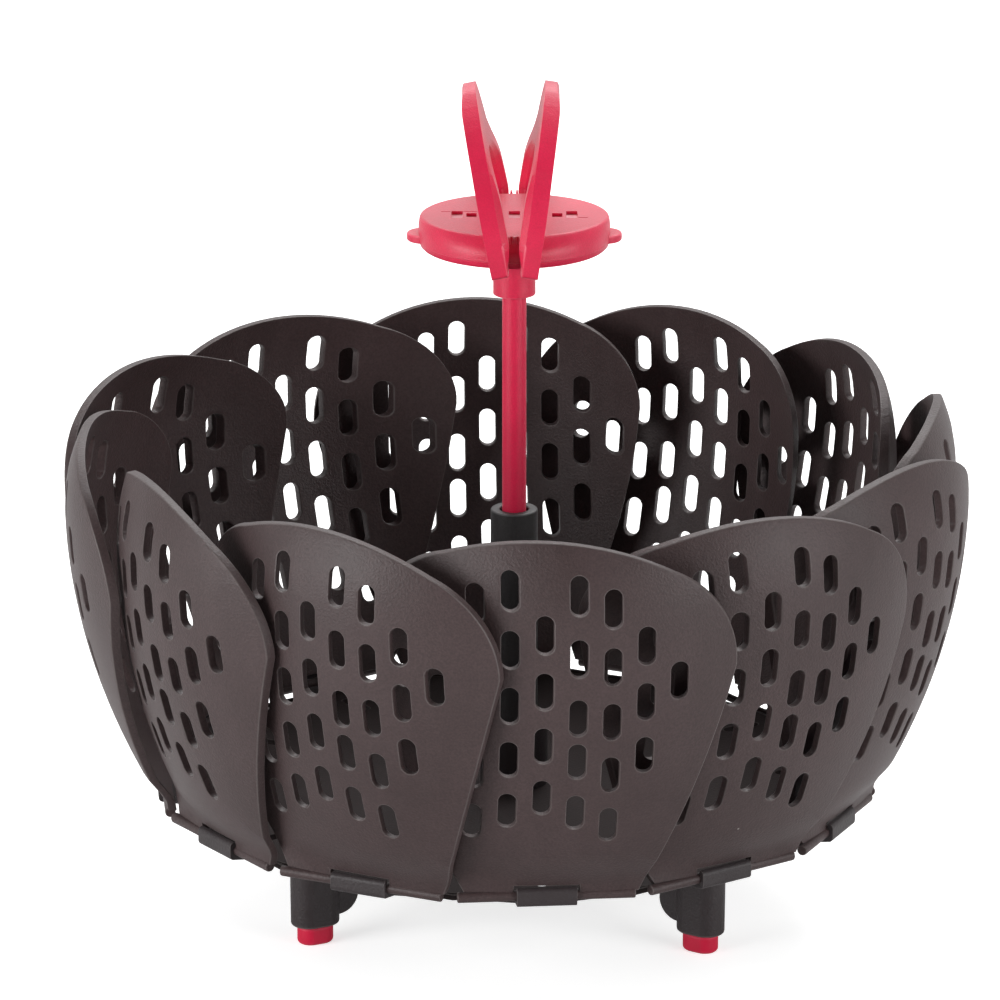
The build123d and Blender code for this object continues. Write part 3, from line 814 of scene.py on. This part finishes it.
# Floor, world and lamps: plain, pale and soft
studio = {"floorSize": 6.0, "floorColour": (0.8, 0.8, 0.8), "lift": 0.66,
          # world light from low to high over this span of the direction's depth, paler behind the object
          "worldLight": (0.15, 0.9), "worldSpan": (-0.5, 0.7),
          # place, size and energy of each lamp, and the place that all of them face
          "leftLamp": ((-1.15, -0.75, 0.38), (0.8, 0.7), 16.5),
          "rightLamp": ((1.1, -0.85, 0.38), (0.8, 0.7), 12.0),
          "backLamp": ((0.15, 0.75, 1.15), (1.1, 0.7), 14.0), "aim": (0, 0, 0.08)}
white = (1, 1, 1, 1)

bm = bmesh.new()
bmesh.ops.create_grid(bm, x_segments=1, y_segments=1, size=studio["floorSize"])
mesh = bpy.data.meshes.new("studioFloor")
bm.to_mesh(mesh)
bm.free()
floor = bpy.data.objects.new("studioFloor", mesh)
bpy.context.scene.collection.objects.link(floor)
paper = bpy.data.materials.new("floorPaper")
paper.use_nodes = True
nodes, links = paper.node_tree.nodes, paper.node_tree.links
shader = nodes["Principled BSDF"]
shader.inputs["Base Color"].default_value = (*studio["floorColour"], 1)
shader.inputs["Roughness"].default_value = 1.0
shader.inputs["Specular IOR Level"].default_value = 0.0
# the camera sees the paper lifted to white, and the object is lit by it as it is
path = nodes.new("ShaderNodeLightPath")
shader.inputs["Emission Color"].default_value = white
glow = addMath(nodes, links, "MULTIPLY", path.outputs["Is Camera Ray"], studio["lift"])
links.new(glow, shader.inputs["Emission Strength"])
floor.data.materials.append(paper)

world = bpy.data.worlds.new("studioWorld")
world.use_nodes = True
bpy.context.scene.world = world
nodes, links = world.node_tree.nodes, world.node_tree.links
lightSide = nodes["Background"]
lightSide.inputs["Color"].default_value = white
seenSide = nodes.new("ShaderNodeBackground")
seenSide.inputs["Color"].default_value = white
direction = nodes.new("ShaderNodeTexCoord")
split = nodes.new("ShaderNodeSeparateXYZ")
links.new(direction.outputs["Generated"], split.inputs["Vector"])
depth = addRange(nodes, links, split.outputs["Y"], studio["worldSpan"], studio["worldLight"])
depth.node.interpolation_type = "SMOOTHSTEP"
links.new(depth, lightSide.inputs["Strength"])
path = nodes.new("ShaderNodeLightPath")
mix = nodes.new("ShaderNodeMixShader")
links.new(path.outputs["Is Camera Ray"], mix.inputs["Fac"])
links.new(lightSide.outputs["Background"], mix.inputs[1])
links.new(seenSide.outputs["Background"], mix.inputs[2])
links.new(mix.outputs["Shader"], nodes["World Output"].inputs["Surface"])

for name in ("leftLamp", "rightLamp", "backLamp"):
    place, size, energy = studio[name]
    lamp = bpy.data.lights.new(name, "AREA")
    lamp.shape = "RECTANGLE"
    lamp.size, lamp.size_y = size
    lamp.energy = energy
    lampObject = bpy.data.objects.new(name, lamp)
    lampObject.location = place
    lampObject.rotation_mode = "QUATERNION"
    lampObject.rotation_quaternion = (Vector(place) - Vector(studio["aim"])).to_track_quat("Z", "Y")
    bpy.context.scene.collection.objects.link(lampObject)

# Camera from the photograph's measured view: metres, radians and, for the lens and sensor, millimetres
view = {"distance": 1.54186, "elevation": 0.303519, "target": (-0.00307, 0, 0.09366),
        "lens": 256.708, "sensor": 36.0, "clip": (0.05, 50.0)}
camera = bpy.data.cameras.new("photoCamera")
camera.sensor_width = view["sensor"]
camera.lens = view["lens"]
camera.clip_start, camera.clip_end = view["clip"]
cameraObject = bpy.data.objects.new("photoCamera", camera)
back = Vector((0, -cos(view["elevation"]), sin(view["elevation"])))
cameraObject.location = Vector(view["target"]) + back * view["distance"]
cameraObject.rotation_euler = (pi / 2 - view["elevation"], 0, 0)
bpy.context.scene.collection.objects.link(cameraObject)
bpy.context.scene.camera = cameraObject
bpy.context.scene.view_settings.view_transform = "Standard"
print("floor, lamps and camera made")

bpy.context.view_layer.update()
